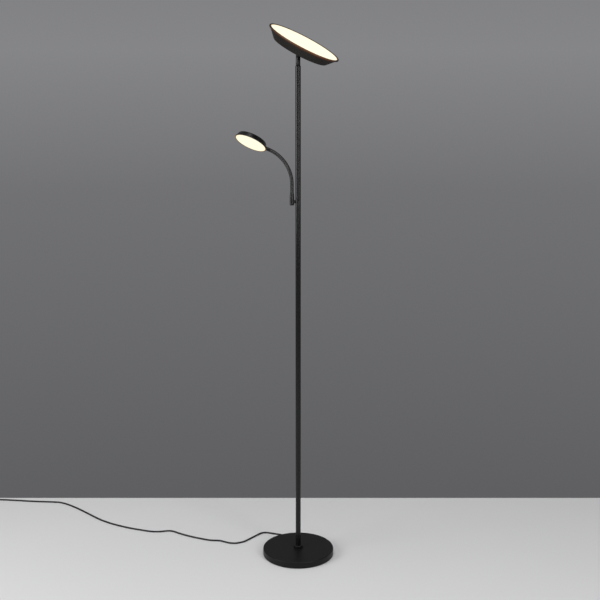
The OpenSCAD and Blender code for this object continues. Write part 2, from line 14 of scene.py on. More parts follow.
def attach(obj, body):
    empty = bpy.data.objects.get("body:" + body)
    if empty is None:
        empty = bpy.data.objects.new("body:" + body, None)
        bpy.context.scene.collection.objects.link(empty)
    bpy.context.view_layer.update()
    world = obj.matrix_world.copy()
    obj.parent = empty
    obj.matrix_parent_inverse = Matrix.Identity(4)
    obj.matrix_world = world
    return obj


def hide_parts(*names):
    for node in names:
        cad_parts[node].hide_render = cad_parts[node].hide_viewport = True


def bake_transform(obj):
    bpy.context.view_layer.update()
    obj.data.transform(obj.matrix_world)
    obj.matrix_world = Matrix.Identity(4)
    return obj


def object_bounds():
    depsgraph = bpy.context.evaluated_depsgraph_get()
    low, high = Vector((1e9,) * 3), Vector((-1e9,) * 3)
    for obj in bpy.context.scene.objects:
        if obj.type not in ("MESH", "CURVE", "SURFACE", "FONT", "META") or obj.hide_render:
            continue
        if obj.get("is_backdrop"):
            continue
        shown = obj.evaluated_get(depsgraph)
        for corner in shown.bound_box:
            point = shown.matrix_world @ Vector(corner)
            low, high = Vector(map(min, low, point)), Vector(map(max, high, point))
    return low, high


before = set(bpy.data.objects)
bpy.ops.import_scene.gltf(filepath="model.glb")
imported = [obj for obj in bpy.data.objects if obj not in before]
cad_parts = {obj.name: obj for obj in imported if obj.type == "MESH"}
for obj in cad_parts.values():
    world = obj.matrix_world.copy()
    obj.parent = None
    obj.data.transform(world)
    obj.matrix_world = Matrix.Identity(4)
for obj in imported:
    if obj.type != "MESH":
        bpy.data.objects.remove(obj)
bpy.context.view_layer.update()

MM = 0.001

# Sizes that the CAD fixes, in millimetres
BASE_R, PAD_T, BASE_H, COVER_T, BASE_EDGE, ROD_HOLE_R = 125, 1.5, 24, 1.2, 3, 5.15
COLLAR_R, COLLAR_H = 16.2, 9.5
POLE_R, POLE_BORE_R = 9, 7.8
POLE_JOINTS = (24, 585.333, 1146.667, 1708)
PIVOT_Z, TILT, TILT_HEADING = 1743, 28.5, -19
HEAD_R, BOWL_R, BOWL_FOOT_R, BOWL_CORNER, BOWL_WALL = 125, 122, 94, 6, 1.4
BOWL_LOW, BOWL_TOP, DIFFUSER_T, RIM_LOW, RIM_TOP = 12, 42.3, 2, 41.8, 46
RIM_LIP_R, RIM_LIP_T = 119.5, 1.6
ARM_X, STUB_Z, SOCKET_R, SOCKET_LOW, SOCKET_HIGH = -20.5, 1265, 7.5, 1253, 1280
SLEEVE_H, SLEEVE_TOP_R, SLEEVE_BORE_R, SPACER_R = 14, 6.3, 4.55, 5.5
FLEX_R, FLEX_RISE, FLEX_BEND, FLEX_TURN, FLEX_Z = 6, 23, 125, 65, 1299.7
LINKS = 12
FLEX_ARC = FLEX_BEND * math.radians(FLEX_TURN)
PITCH = (FLEX_RISE + FLEX_ARC) / LINKS
READER_R, READER_BACK_R, READER_X, READER_EDGE, READER_WALL = 55, 49, 67.5, 5, 1.6
READER_LOW, READER_LIP, READER_TOP = -7, -4, 11
READER_FACE, READER_DIFFUSER_T = READER_LOW + 0.5, 1.6
READER_ROLL, STEM_LEN, BOSS_R, BOSS_END = 23.5, 11.2, 5.8, 22
CORD_R, EXIT_HEADING, EXIT_Z, GLAND_TIP = 3, 112, 4.5, 147
COIL_AT, COIL_OUTER, COIL_INNER, COIL_TOP = (-1238, 446.5), 36, 30, 33
PLUG_T, PLUG_LEN, PLUG_RELIEF, PLUG_RELIEF_Y, PIN_GAP, PIN_R = 13.6, 34, 26, -19, 19, 2
PLUG_ROUND, PIN_SLEEVE = 1.2, 19.6

# The cord's route over the floor, from the gland to the coil
ROUTE = [
    [-55.1, 136.3, 4.5], [-60.2, 144.6, 4], [-67.8, 150.8, 3.2], [-77, 154.5, 3],
    [-86.3, 157.8, 3], [-95.5, 161.1, 3], [-104.8, 164.4, 3], [-114.1, 167.6, 3],
    [-123.9, 168.7, 3], [-133.3, 166.3, 3], [-141.4, 160.8, 3], [-147.7, 153.2, 3],
    [-153.8, 145.5, 3], [-160, 137.8, 3], [-166.1, 130.1, 3], [-172.3, 122.4, 3],
    [-178.4, 114.7, 3], [-196, 93, 3], [-211, 83, 3], [-227, 77, 3], [-242, 77, 3], [-257, 82, 3],
    [-272, 90, 3], [-287, 98, 3], [-303, 100, 3], [-323, 102, 3], [-347, 111, 3], [-377, 124, 3],
    [-408, 140, 3], [-439, 159, 3], [-462, 176, 3], [-477, 183, 3], [-493, 183, 3], [-517, 177, 3],
    [-546, 178, 3], [-577, 187, 3], [-639, 211, 3], [-706, 247, 3], [-762, 289, 3], [-815, 342, 3],
    [-854, 381, 3], [-902, 424, 3], [-945, 451, 3], [-980, 457, 3], [-1062, 464, 3],
    [-1159, 477, 3], [-1238, 482.5, 3],
]


# ---------- camera ----------

camera = bpy.data.objects.new("camera", bpy.data.cameras.new("camera"))
bpy.context.scene.collection.objects.link(camera)
camera.location = (0.00629, -3.69522, 1.75720)
camera.rotation_euler = (math.radians(90 - 12.631), 0, 0)
camera.data.lens = 66.849
camera.data.sensor_width = 36
camera.data.clip_end = 50
bpy.context.scene.camera = camera


# ---------- finishes ----------

class Wire:
    """One socket's number. Arithmetic on it adds Math nodes to its finish."""

    def __init__(self, finish, socket):
        self.finish = finish
        self.socket = socket

    def _maths(self, operation, *terms):
        values = dict(enumerate(terms))
        return self.finish.node("ShaderNodeMath", {"operation": operation}, values)

    def __add__(self, other):
        return self._maths("ADD", self, other)

    def __radd__(self, other):
        return self._maths("ADD", other, self)

    def __sub__(self, other):
        return self._maths("SUBTRACT", self, other)

    def __rsub__(self, other):
        return self._maths("SUBTRACT", other, self)

    def __mul__(self, other):
        return self._maths("MULTIPLY", self, other)

    def __rmul__(self, other):
        return self._maths("MULTIPLY", other, self)

    def wave(self):
        return self._maths("SINE", self)

    def step(self, low, high):
        """0 below low, 1 above high and a smooth rise between."""
        settings = {"interpolation_type": "SMOOTHSTEP"}
        values = {"Value": self, "From Min": low, "From Max": high, "To Min": 0.0, "To Max": 1.0}
        return self.finish.node("ShaderNodeMapRange", settings, values)


class Finish:
    """A material in the making, or the world when that is the owner of the nodes."""

    def __init__(self, name, owner=None):
        self.material = owner or bpy.data.materials.new(name)
        self.material.use_nodes = True
        self.tree = self.material.node_tree
        self.tree.nodes.clear()

    def node(self, kind, settings=None, values=None, out=0):
        """Any node: its type, its settings, its sockets' values or wires, and the socket to use."""
        made = self.tree.nodes.new(kind)
        for key, value in (settings or {}).items():
            if key == "stops":
                ramp = made.color_ramp
                while len(ramp.elements) < len(value):
                    ramp.elements.new(0.5)
                for element, (place, colour) in zip(ramp.elements, value):
                    element.position = place
                    element.color = colour
            else:
                setattr(made, key, value)
        for key, value in (values or {}).items():
            if isinstance(value, Wire):
                self.tree.links.new(value.socket, made.inputs[key])
            else:
                made.inputs[key].default_value = value
        return Wire(self, made.outputs[out])

    def place(self):
        """Where the point is on the piece, in metres."""
        return self.node("ShaderNodeTexCoord", out="Object")

    def noise(self, scale, detail=2.0, roughness=0.5, at=None):
        """Cloudy noise from 0 to 1 with cells of about 1/scale metres."""
        values = {"Vector": at or self.place(), "Scale": scale, "Detail": detail,
                  "Roughness": roughness}
        return self.node("ShaderNodeTexNoise", None, values)

    def cells(self, scale, at=None):
        """Distance to the nearest cell centre, for grains and pores."""
        return self.node("ShaderNodeTexVoronoi", None,
                         {"Vector": at or self.place(), "Scale": scale})

    def blend(self, share, first, second):
        """One colour turning into another as share goes from 0 to 1."""
        return self.node("ShaderNodeMix", {"data_type": "RGBA"}, {0: share, 6: first, 7: second},
                         out=2)

    def parts(self, vector):
        """The three numbers of a vector."""
        split = self.node("ShaderNodeSeparateXYZ", None, {0: vector})
        return [Wire(self, split.socket.node.outputs[k]) for k in range(3)]

    def stretched(self, scale, turn=(0, 0, 0)):
        """Place, turned and then stretched along its axes."""
        return self.node("ShaderNodeMapping", None,
                         {"Vector": self.place(), "Scale": scale, "Rotation": turn})

    def away_from(self, centre):
        """Distance from a point, in metres."""
        return self.node("ShaderNodeVectorMath", {"operation": "DISTANCE"},
                         {0: self.place(), 1: centre}, out="Value")

    def bump(self, height, depth, strength=1.0):
        """A normal for a height from 0 to 1 that stands for depth metres."""
        return self.node("ShaderNodeBump", None,
                         {"Height": height, "Distance": depth, "Strength": strength})

    def shade(self, **values):
        """Joins the numbers, colours and wires to the shader and ends the material."""
        sockets = {key.replace("_", " "): value for key, value in values.items()}
        shader = self.node("ShaderNodeBsdfPrincipled", None, sockets)
        self.finish(shader, "ShaderNodeOutputMaterial")
        return self.material

    def finish(self, shader, kind):
        """Leads the shader to an output node of a kind."""
        end = self.tree.nodes.new(kind)
        self.tree.links.new(shader.socket, end.inputs["Surface"])


def grey(level):
    return (level, level, level, 1.0)


def painted(name, dark, light, grain, depth, roughness, spread, sheen=0.5, bumps=0.6, glow=None):
    """Black paint on metal: a sprayed texture of small cells, cloudy gloss and a few dull patches."""
    f = Finish(name)
    fine = f.noise(grain, 3.0, 0.6)
    pips = 1 - f.cells(grain * 0.55)
    cloud = f.noise(14.0, 3.0, 0.55)
    handled = f.noise(90.0, 2.0, 0.5).step(0.42, 0.7)
    colour = f.blend(cloud * 0.6 + fine * 0.4, dark, light)
    gloss = roughness + (cloud - 0.5) * spread + (fine - 0.5) * spread * 0.8 + handled * 0.02
    # glow, when given, paints light into the emission: a painted glow on a part that is no lamp
    lit = {"Emission_Color": glow(f), "Emission_Strength": 1.0} if glow else {}
    return f.shade(Base_Color=colour, Roughness=gloss, Specular_IOR_Level=sheen,
                   Normal=f.bump(fine * 0.6 + pips * 0.4, depth, bumps), **lit)


def make_powder_coat():
    return painted("powder_coat", (0.0045, 0.0045, 0.0048, 1), (0.0075, 0.0075, 0.0079, 1),
                   2400.0, 0.00006, 0.42, 0.08, sheen=0.2, bumps=0.4)


def make_satin_paint():
    return painted("satin_paint", (0.0030, 0.0030, 0.0033, 1), (0.0055, 0.0055, 0.0058, 1),
                   3600.0, 0.00001, 0.24, 0.05, sheen=0.3, bumps=0.03)


def make_bowl_paint_with_painted_glow(axis, low, high):
    """Soft black paint with a painted glow in its emission, which stands in for the rim light that spills
    onto the bowl: the painted glow grows with the height along the uplight's axis, from low to high in
    metres, on the side towards -Y only."""
    # painted glow: the uplight's rim light painted into the bowl's emission, on the near side only
    def glow(f):
        x, y, z = f.parts(f.place())
        height = (x * axis[0] + y * axis[1] + z * axis[2]).step(low, high)
        near = (y * -1.0).step(0.02, 0.125)
        # the orange of the painted rim light
        return f.blend(height * height * near, (0, 0, 0, 1), (0.13, 0.040, 0.007, 1))
    return painted("bowl_paint_with_painted_glow", (0.0115, 0.0095, 0.0083, 1), (0.0165, 0.0138, 0.0122, 1),
                   3000.0, 0.00002, 0.52, 0.06, sheen=0.3, bumps=0.2, glow=glow)


def make_gooseneck_paint():
    """Thin paint on wound wire: the crests are rubbed smoother than the grooves between them."""
    f = Finish("gooseneck_paint")
    crest = f.node("ShaderNodeAttribute", {"attribute_name": "crest"}, out="Fac")
    fine = f.noise(2600.0, 2.0)
    rubbed = crest.step(0.55, 1.0) * f.noise(160.0, 2.0).step(0.35, 0.7)
    colour = f.blend(rubbed * 0.8, (0.008, 0.008, 0.0085, 1), (0.02, 0.02, 0.021, 1))
    return f.shade(Base_Color=colour, Roughness=0.30 - rubbed * 0.08 + (fine - 0.5) * 0.04,
                   Normal=f.bump(fine, 0.00001, 0.1))


def make_black_oxide():
    """Oiled black oxide on a turned screw: dark, slightly brown and faintly streaked."""
    f = Finish("black_oxide")
    streak = f.noise(700.0, 3.0, 0.6)
    colour = f.blend(streak, (0.022, 0.021, 0.02, 1), (0.05, 0.047, 0.044, 1))
    return f.shade(Base_Color=colour, Metallic=0.75, Roughness=0.34 + streak * 0.16,
                   Normal=f.bump(streak, 0.00002, 0.5))


def make_cast_iron():
    """Raw sand casting: coarse lumps, pits and a breath of rust."""
    f = Finish("cast_iron")
    lumps = f.noise(260.0, 5.0, 0.65)
    pits = f.cells(420.0).step(0.05, 0.35)
    rust = f.noise(24.0, 4.0, 0.6).step(0.52, 0.72)
    iron = f.blend(lumps, (0.07, 0.07, 0.072, 1), (0.16, 0.16, 0.165, 1))
    colour = f.blend(rust * 0.55, iron, (0.16, 0.07, 0.035, 1))
    return f.shade(Base_Color=colour, Metallic=0.55 - rust * 0.4, Roughness=0.62 + rust * 0.2,
                   Normal=f.bump(lumps * 0.7 + pits * 0.3, 0.0004, 0.8))


def make_zinc_steel():
    """Bright zinc plate: pale blue grey with soft crystal patches and fine turning marks."""
    f = Finish("zinc_steel")
    crystals = f.cells(320.0)
    marks = f.noise(900.0, 2.0, 0.6, at=f.stretched((1, 1, 9)))
    colour = f.blend(crystals, (0.50, 0.52, 0.55, 1), (0.66, 0.67, 0.68, 1))
    return f.shade(Base_Color=colour, Metallic=1.0, Roughness=0.24 + marks * 0.2,
                   Normal=f.bump(marks, 0.00003, 0.5))


def make_bare_aluminium():
    """Rolled aluminium sheet: long fine streaks in the rolling direction."""
    f = Finish("bare_aluminium")
    rolled = f.noise(1500.0, 3.0, 0.6, at=f.stretched((0.04, 1, 1)))
    colour = f.blend(rolled, (0.66, 0.66, 0.67, 1), (0.80, 0.80, 0.81, 1))
    return f.shade(Base_Color=colour, Metallic=1.0, Roughness=0.26 + rolled * 0.18,
                   Normal=f.bump(rolled, 0.00002, 0.4))


def make_lamp_board():
    """White solder mask with yellow lamp chips in a square pattern."""
    f = Finish("lamp_board")
    x, y, z = f.parts(f.place())
    chips = ((x * 420.0).wave() * (y * 420.0).wave()).step(0.88, 0.93)
    mask = f.noise(60.0, 2.0)
    white = f.blend(mask, (0.80, 0.80, 0.77, 1), (0.88, 0.88, 0.85, 1))
    colour = f.blend(chips, white, (0.85, 0.60, 0.12, 1))
    return f.shade(Base_Color=colour, Roughness=0.42 - chips * 0.2,
                   Normal=f.bump(chips, 0.0004, 0.8))


def make_driver_case():
    """Moulded grey case with a fine spark texture."""
    f = Finish("driver_case")
    grain = f.noise(1800.0, 2.0, 0.6)
    colour = f.blend(grain, (0.60, 0.60, 0.58, 1), (0.72, 0.72, 0.70, 1))
    return f.shade(Base_Color=colour, Roughness=0.48 + grain * 0.12,
                   Normal=f.bump(grain, 0.00006, 0.6))


def make_lead_white():
    """White silicone sheath, slightly yellowed in patches."""
    f = Finish("lead_white")
    patch = f.noise(40.0, 2.0)
    colour = f.blend(patch, (0.74, 0.74, 0.71, 1), (0.80, 0.79, 0.73, 1))
    return f.shade(Base_Color=colour, Roughness=0.5 + patch * 0.1,
                   Normal=f.bump(f.noise(1200.0), 0.00002, 0.4))


def make_foam():
    """Closed-cell foam: small open pores in soft black."""
    f = Finish("foam")
    pores = f.cells(900.0).step(0.1, 0.5)
    colour = f.blend(pores, (0.02, 0.02, 0.02, 1), (0.05, 0.05, 0.05, 1))
    return f.shade(Base_Color=colour, Roughness=0.92, Normal=f.bump(pores, 0.0003, 0.8))


def make_rubber():
    """Moulded black rubber: dull with a faint bloom."""
    f = Finish("rubber")
    bloom = f.noise(220.0, 3.0, 0.6)
    colour = f.blend(bloom, (0.012, 0.012, 0.012, 1), (0.024, 0.024, 0.0235, 1))
    return f.shade(Base_Color=colour, Roughness=0.55 + bloom * 0.14,
                   Normal=f.bump(f.noise(2600.0, 2.0), 0.00004, 0.5))


def make_cord_sheath():
    """Drawn PVC: satin, with very fine drag lines round and long slow dull patches."""
    f = Finish("cord_sheath")
    slow = f.noise(30.0, 3.0, 0.55)
    fine = f.noise(2200.0, 2.0)
    colour = f.blend(slow, (0.004, 0.004, 0.0045, 1), (0.008, 0.008, 0.0085, 1))
    return f.shade(Base_Color=colour, Roughness=0.42 + slow * 0.12, Specular_IOR_Level=0.3,
                   Normal=f.bump(fine, 0.00003, 0.5))


def make_plug_plastic():
    """Black moulding with a fine spark texture."""
    f = Finish("plug_plastic")
    grain = f.noise(2400.0, 3.0, 0.6)
    colour = f.blend(grain, (0.012, 0.012, 0.012, 1), (0.022, 0.022, 0.022, 1))
    return f.shade(Base_Color=colour, Roughness=0.44 + grain * 0.14,
                   Normal=f.bump(grain, 0.00006, 0.6))


def make_pin_metal(sleeve_end):
    """Nickel-plated pins whose first half, down to sleeve_end along Y, wears a black sleeve."""
    f = Finish("pin_metal")
    x, y, z = f.parts(f.place())
    sleeve = y.step(sleeve_end, sleeve_end + 0.0003)
    wear = f.noise(900.0, 3.0, 0.6, at=f.stretched((1, 0.1, 1)))
    nickel = f.blend(wear, (0.60, 0.57, 0.50, 1), (0.74, 0.71, 0.64, 1))
    colour = f.blend(sleeve, nickel, (0.015, 0.015, 0.015, 1))
    return f.shade(Base_Color=colour, Metallic=1 - sleeve, Roughness=0.2 + wear * 0.15 + sleeve * 0.2,
                   Normal=f.bump(wear, 0.00001, 0.4))


def make_lit_diffuser(name, centre, inner, outer, power):
    """Opal acrylic lit from behind: even and warm white, turning orange in its last millimetres."""
    f = Finish(name)
    edge = f.away_from(centre).step(inner, outer)
    haze = f.noise(30.0, 2.0)
    glow = f.blend(haze, (1.0, 0.955, 0.70, 1), (1.0, 0.975, 0.76, 1))
    glow = f.blend(edge, glow, (0.80, 0.36, 0.09, 1))
    return f.shade(Base_Color=(0.16, 0.15, 0.11, 1), Roughness=0.4, Emission_Color=glow,
                   Emission_Strength=power, Normal=f.bump(f.noise(1500.0), 0.00002, 0.3))


# ---------- surfaces ----------

def grid_faces(rows, columns, loop=False):
    """Quads between neighbouring rows of points, whose columns close round. A loop joins the
    last row to the first."""
    i = np.arange(rows if loop else rows - 1)[:, None]
    j = np.arange(columns)[None, :]
    here, there, up = i * columns, (i + 1) % rows * columns, (j + 1) % columns
    return np.stack([here + j, here + up, there + up, there + j], -1).reshape(-1, 4).tolist()


def shell(rows, loop=False, low_pole=None, high_pole=None):
    """Points and faces of rows of points [row, column, xyz], closed by a fan to a pole at
    either end. Seen along the rows' way, the columns turn to the left of it, so faces look out."""
    count, columns = rows.shape[:2]
    points = [rows.reshape(-1, 3)]
    faces = grid_faces(count, columns, loop)
    step = np.arange(columns)
    ahead = (step + 1) % columns
    total = count * columns
    if low_pole is not None:
        points.append(np.array([low_pole], float))
        faces += np.stack([np.full(columns, total), ahead, step], -1).tolist()
        total += 1
    if high_pole is not None:
        points.append(np.array([high_pole], float))
        last = (count - 1) * columns
        faces += np.stack([last + step, last + ahead, np.full(columns, total)], -1).tolist()
    return np.concatenate(points), faces


def circle(count):
    """Angles at equal steps round a circle."""
    return np.arange(count) * 2 * np.pi / count


def turned(section, around):
    """A section of (r, z) carried round the axis: (r cos a, r sin a, z). One that starts and
    ends on the axis is closed by poles, and any other closes on itself. It runs outwards along
    the bottom, up the outside and back along the top."""
    section = np.asarray(section, float)
    angle = circle(around)
    on_axis = section[0, 0] < 1e-6
    ring = section[1:-1] if on_axis else section
    rows = np.stack([ring[:, :1] * np.cos(angle), ring[:, :1] * np.sin(angle),
                     ring[:, 1:] + 0 * angle], -1)
    if on_axis:
        return shell(rows, False, (0, 0, section[0, 1]), (0, 0, section[-1, 1]))
    return shell(rows, True)


def rounded(corners, steps=6):
    """A section whose corners (r, z, radius) become arcs that touch both sides. A point just
    outside each arc keeps the flats flat when the shading is smooth."""
    made = []
    count = len(corners)
    for k, (r, z, radius) in enumerate(corners):
        here = np.array([r, z], float)
        if radius <= 0:
            made.append(here[None])
            continue
        back = np.array(corners[k - 1][:2], float) - here
        on = np.array(corners[(k + 1) % count][:2], float) - here
        back /= np.linalg.norm(back)
        on /= np.linalg.norm(on)
        half = math.acos(np.clip(back @ on, -1, 1)) / 2
        reach = radius / math.tan(half)
        centre = here + (back + on) / np.linalg.norm(back + on) * radius / math.sin(half)
        start, end = here + back * reach - centre, here + on * reach - centre
        spread = math.pi - 2 * half
        t = np.linspace(0, 1, steps + 1)[:, None]
        arc = (start * np.sin((1 - t) * spread) + end * np.sin(t * spread)) / math.sin(spread)
        guard = min(0.25 * radius, 0.3)
        made += [(here + back * (reach + guard))[None], centre + arc,
                 (here + on * (reach + guard))[None]]
    return np.concatenate(made)


def carried(path, across, up, radius):
    """Rows of points round a path: path + radius (across cos a + up sin a), for a radius that
    is a number, one per row, or one per row and column."""
    radius = np.asarray(radius, float)
    if radius.ndim < 2:
        radius = np.broadcast_to(radius.reshape(-1, 1), (len(path), 24))
    angle = circle(radius.shape[1])
    way = across[:, None] * np.cos(angle)[None, :, None] + up[:, None] * np.sin(angle)[None, :, None]
    return path[:, None] + way * radius[..., None]


def moved(matrix, points):
    """Points turned and moved by a matrix."""
    m = np.array(matrix)
    return points @ m[:3, :3].T + m[:3, 3]


def piece(name, parts, finish, body=None, stands_for=(), matrix=None, crease=35):
    """A mesh object from one or more (points, faces), smooth but for edges past the crease
    angle, riding on a body and standing for its CAD nodes."""
    points, faces, start = [], [], 0
    for some, some_faces in parts:
        points.append(some)
        faces += [[start + v for v in face] for face in some_faces]
        start += len(some)
    points = np.concatenate(points)
    if matrix is not None:
        points = moved(matrix, points)
    mesh = bpy.data.meshes.new(name)
    mesh.from_pydata((points * MM).tolist(), [], faces)
    mesh.validate()
    mesh.shade_smooth()
    mesh.set_sharp_from_angle(angle=math.radians(crease))
    mesh.materials.append(finish)
    made = bpy.data.objects.new(name, mesh)
    bpy.context.scene.collection.objects.link(made)
    if body:
        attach(made, body)
    if stands_for:
        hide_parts(*stands_for)
    return made


def eased_copy(node, finish, body, width=0.3, crease=30, segments=2):
    """A copy of a CAD node, its triangles merged into faces and its edges eased."""
    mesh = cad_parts[node].data.copy()
    mesh.name = node + "_eased"
    work = bmesh.new()
    work.from_mesh(mesh)
    bmesh.ops.remove_doubles(work, verts=work.verts, dist=2e-6)
    bmesh.ops.dissolve_limit(work, angle_limit=math.radians(0.6), verts=work.verts,
                             edges=work.edges)
    work.to_mesh(mesh)
    work.free()
    mesh.materials.clear()
    mesh.materials.append(finish)
    mesh.shade_smooth()
    made = bpy.data.objects.new(node + "_eased", mesh)
    bpy.context.scene.collection.objects.link(made)
    ease = made.modifiers.new("ease", "BEVEL")
    ease.width = width * MM
    ease.segments = segments
    ease.limit_method = "ANGLE"
    ease.angle_limit = math.radians(crease)
    ease.use_clamp_overlap = True
    ease.harden_normals = True
    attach(made, body)
    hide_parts(node)
    return made


def turn(angle, axis):
    return Matrix.Rotation(math.radians(angle), 4, axis)


def outwards(heading, z):
    """A frame whose +Z runs out from the axis along a heading."""
    return Matrix.Translation((0, 0, z)) @ turn(heading, "Z") @ turn(90, "Y")


# ---------- finishes that several pieces share ----------

powder_coat = make_powder_coat()
satin_paint = make_satin_paint()
gooseneck_paint = make_gooseneck_paint()
black_oxide = make_black_oxide()
rubber = make_rubber()
cord_sheath = make_cord_sheath()
plug_plastic = make_plug_plastic()


# ---------- cord ----------

def through(points, steps=8):
    """The smooth curve through the points that the CAD's tube follows: a cubic between each
    pair, whose slope at a point is half the way between its neighbours."""
    p = np.array(points, float)
    a, b, c, d = np.concatenate([p[:1], p[:-2]]), p[:-1], p[1:], np.concatenate([p[2:], p[-1:]])
    t = (np.arange(steps) / steps)[None, :, None]
    a, b, c, d = a[:, None], b[:, None], c[:, None], d[:, None]
    curve = 0.5 * (2 * b + (c - a) * t + (2 * a - 5 * b + 4 * c - d) * t ** 2
                   + (3 * b - a - 3 * c + d) * t ** 3)
    return np.concatenate([curve.reshape(-1, 3), p[-1:]])


def smooth_rise(x, low, high):
    """0 before low, 1 after high, and 3t^2 - 2t^3 between."""
    t = np.clip((x - low) / (high - low), 0, 1)
    return t * t * (3 - 2 * t)


COIL_LIFT, COIL_LAYER, COIL_END = 0.75, 5.3, 900


def coil_turns():
    """The wound turns, by angle from +X: an outer turn and an inner one on the floor, and a
    last one in the groove between them, that ends pointing at the plug."""
    angle = np.arange(100, COIL_END + 1, 6.0)
    radius = (COIL_OUTER - (COIL_OUTER - COIL_INNER) * smooth_rise(angle, 375, 447)
              + (COIL_TOP - COIL_INNER) * smooth_rise(angle, 690, 760))
    height = (CORD_R + COIL_LIFT * smooth_rise(angle, 90, 150)
              + COIL_LAYER * smooth_rise(angle, 672, 748) + 0.7 * smooth_rise(angle, 720, 748)
              - 0.7 * smooth_rise(angle, 790, 840))
    turns = np.radians(angle)
    return np.stack([COIL_AT[0] + radius * np.cos(turns), COIL_AT[1] + radius * np.sin(turns),
                     height], -1)


def cord_line():
    """The whole centre line, from the gland over the floor and round the coil to the plug."""
    floor = through(ROUTE)
    turns = coil_turns()
    plug_x, tip_y = COIL_AT[0] - COIL_TOP, COIL_AT[1] + PLUG_RELIEF_Y
    drop = np.linspace(0, 1, 6)[1:]
    tail = np.stack([0 * drop + plug_x, turns[-1, 1] + (tip_y - 2 - turns[-1, 1]) * drop,
                     turns[-1, 2] + (PLUG_T / 2 - turns[-1, 2]) * smooth_rise(drop, 0, 1)], -1)
    return np.concatenate([floor, turns, tail])


def along(path):
    """Sideways and upward directions at each point of a path that lies almost flat."""
    way = np.gradient(path, axis=0)
    way /= np.linalg.norm(way, axis=1)[:, None]
    across = np.stack([-way[:, 1], way[:, 0], 0 * way[:, 0]], -1)
    across /= np.linalg.norm(across, axis=1)[:, None]
    return across, np.cross(way, across)


def evened(path, step):
    """The same path with points at equal steps along it."""
    run = np.concatenate([[0], np.cumsum(np.linalg.norm(np.diff(path, axis=0), axis=1))])
    at = np.linspace(0, run[-1], int(run[-1] / step) + 1)
    return np.stack([np.interp(at, run, path[:, k]) for k in range(3)], -1), run[-1]


cord_path, cord_length = evened(cord_line(), 3.0)
cord_path[1:-1] = (cord_path[:-2] + 2 * cord_path[1:-1] + cord_path[2:]) / 4
across, up = along(cord_path)
cord_rows = carried(cord_path, across, up, np.full((len(cord_path), 16), CORD_R - 0.02))
mains_cord = piece("mains_cord", [shell(cord_rows, False, cord_path[0], cord_path[-1])],
                   cord_sheath, "stand", ["cord_tube", "cord_coil"])


def gland_section():
    """Half section of the strain relief along its axis: a flange inside the wall, a neck
    through it and a taper outside that is grooved like a bellows."""
    flange, neck, wall, lip = 4.2, 3.6, 123.8, 125.3
    inside = rounded([(0, 119.8, 0), (flange, 119.8, 0.5), (flange, wall, 0.2), (neck, wall, 0.2),
                      (neck, lip, 0.2), (flange, lip, 0.3), (flange, lip + 2.5, 0.3)])[:-1]
    t = np.linspace(0, 1, 141)[1:]
    out = lip + 2.5 + (GLAND_TIP - lip - 3.0) * t
    groove = 0.35 * (0.5 - 0.5 * np.cos(2 * np.pi * (out - lip - 2.5) / 2.4)) ** 0.6
    taper = flange - (flange - 3.3) * (out - lip) / (GLAND_TIP - lip) - groove * (t < 0.92)
    tip = [(3.15, GLAND_TIP - 0.1), (2.9, GLAND_TIP), (0, GLAND_TIP)]
    return np.concatenate([inside, np.stack([taper, out], -1), tip])


gland = piece("cord_relief", [turned(gland_section(), 40)], rubber, "stand",
              ["cord_gland"], outwards(EXIT_HEADING, EXIT_Z))


def plug_rows():
    """Sections across the plug's length t: |x/w|^n + |z/h|^n = 1, where n grows from a round
    relief to a squarish body, and w and h follow the plug's outline."""
    run = np.concatenate([np.linspace(0, PLUG_RELIEF, 79),
                          PLUG_RELIEF + np.array([0.3, 0.9, 1.8, 3, 4.5, 6, 8, 10, 12, 14, 18, 24,
                                                  29, 31.5, 32.8, 33.5, 33.9, 34.0])])
    t = np.clip(run / PLUG_RELIEF, 0, 1)
    past = np.clip(run - PLUG_RELIEF, 0, None)
    ribs = 0.45 * (0.5 - 0.5 * np.cos(2 * np.pi * run / 3.25)) * (run < PLUG_RELIEF - 0.01)
    base = 3.3 + 2.2 * t - ribs * smooth_rise(run, 0, 3)
    shoulder = smooth_rise(past, 0, 3)
    wide = base + shoulder * (8 - 5.5 + 7 * smooth_rise(past, 0, 13))
    thick = base + shoulder * (6.8 - 5.5)
    into = np.clip(past - (PLUG_LEN - PLUG_ROUND), 0, None) / PLUG_ROUND
    drawn_in = PLUG_ROUND * (1 - np.sqrt(np.clip(1 - into ** 2, 0, 1)))
    wide, thick = wide - drawn_in, thick - drawn_in
    n = 2 + 3.2 * smooth_rise(past, 0, 8)
    angle = circle(64)
    c, s = np.cos(angle)[None], np.sin(angle)[None]
    power = (2 / n)[:, None]
    x = wide[:, None] * np.sign(c) * np.abs(c) ** power
    z = thick[:, None] * np.sign(s) * np.abs(s) ** power
    return np.stack([x, z, run[:, None] + 0 * x], -1)


plug_frame = (Matrix.Translation((COIL_AT[0] - COIL_TOP, COIL_AT[1] + PLUG_RELIEF_Y, PLUG_T / 2))
              @ turn(90, "X"))
rows = plug_rows()
plug = piece("mains_plug", [shell(rows, False, (0, 0, 0), (0, 0, PLUG_RELIEF + PLUG_LEN))],
             plug_plastic, "stand", ["plug_body"], plug_frame, crease=60)

pin_low = PLUG_RELIEF + PLUG_LEN - 10
pin_section = np.concatenate([
    rounded([(0, 0, 0), (PIN_R - 0.05, 0, 0.1), (PIN_R - 0.05, 19.5, 0.05), (PIN_R, PIN_SLEEVE, 0.03)]),
    [(PIN_R * math.cos(a), 27 + PIN_R * math.sin(a)) for a in np.linspace(0, np.pi / 2, 10)]])
pin_section[-1, 0] = 0
pin_points, pin_faces = turned(pin_section, 32)
plug_pins = piece("mains_plug_pins",
                  [(pin_points + [side * PIN_GAP / 2, 0, pin_low], pin_faces) for side in (-1, 1)],
                  make_pin_metal((COIL_AT[1] + PLUG_RELIEF_Y - pin_low - PIN_SLEEVE) * MM),
                  "stand", ["plug_pins"], plug_frame)


